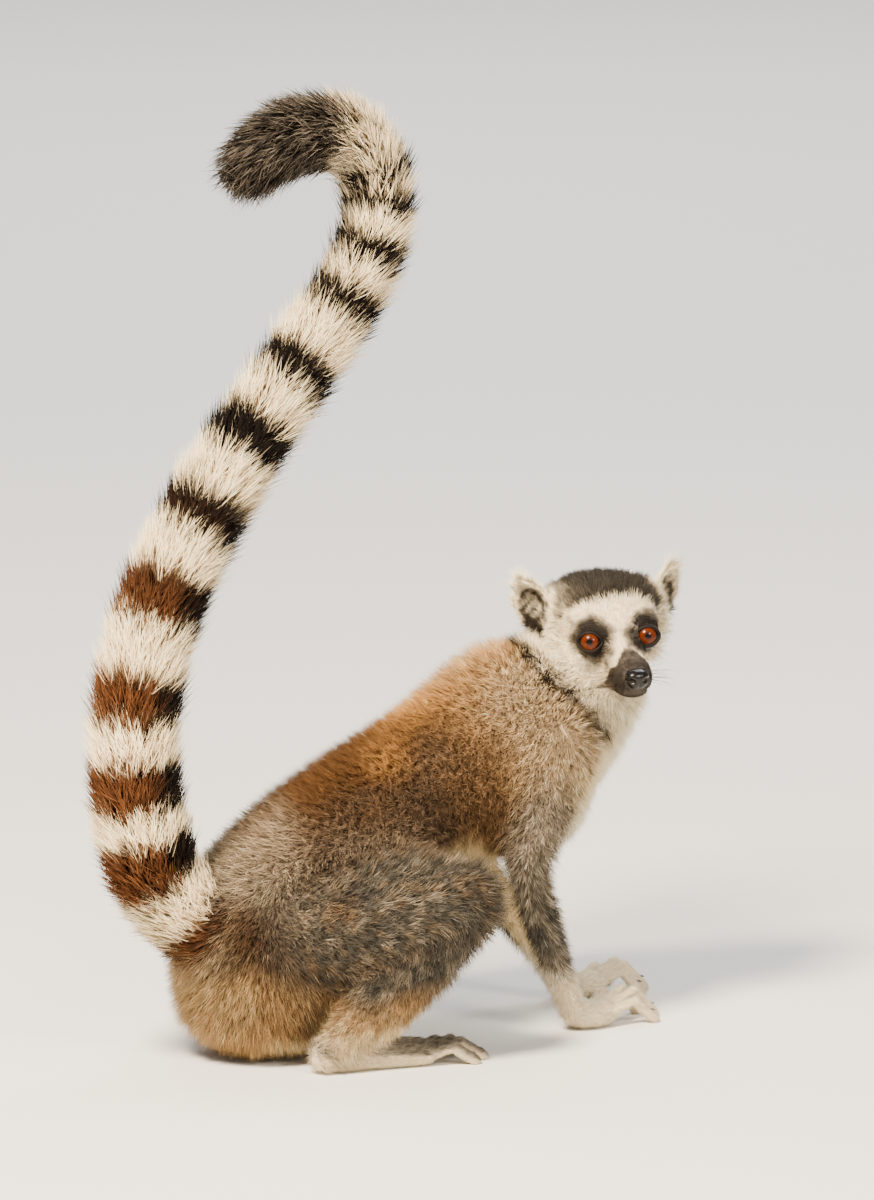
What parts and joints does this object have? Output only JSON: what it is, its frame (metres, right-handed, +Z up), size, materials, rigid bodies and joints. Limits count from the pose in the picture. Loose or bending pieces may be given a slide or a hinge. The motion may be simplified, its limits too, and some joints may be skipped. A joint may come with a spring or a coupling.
{
  "type": "ring-tailed lemur",
  "caption": "Still life-size lemur that sits on its rump and feet, hands on the floor, head turned over its right shoulder and long ringed tail raised in a hook.",
  "frame": {"origin": "on the floor, at the middle of the flat under the rump", "axes": "+X forwards from the rump to the chest, +Y to the animal's left, +Z up"},
  "size_m": [0.4148, 0.2363, 0.5799],
  "materials": {
    "body_coat": "brown-grey fur",
    "limb_coat": "grey agouti fur",
    "pale_coat": "cream-white fur",
    "tail_coat": "long fur in black and white rings",
    "eyes": "clear wet cornea over an amber iris",
    "nose": "black wet skin"
  },
  "bodies": {
    "root": {"trunk": "body_coat", "neck": "pale_coat", "head": "pale_coat", "nose": "nose", "eye_right": "eyes", "eye_left": "eyes", "ear_right": "pale_coat", "ear_left": "pale_coat", "upper_arm_right": "limb_coat", "upper_arm_left": "limb_coat", "forearm_right": "limb_coat", "forearm_left": "limb_coat", "hand_right": "pale_coat", "hand_left": "pale_coat", "thigh_right": "limb_coat", "thigh_left": "limb_coat", "shank_right": "limb_coat", "shank_left": "limb_coat", "foot_right": "pale_coat", "foot_left": "pale_coat", "tail_1": "tail_coat", "tail_2": "tail_coat", "tail_3": "tail_coat", "tail_4": "tail_coat", "tail_5": "tail_coat", "tail_6": "tail_coat"}
  },
  "joints": []
}
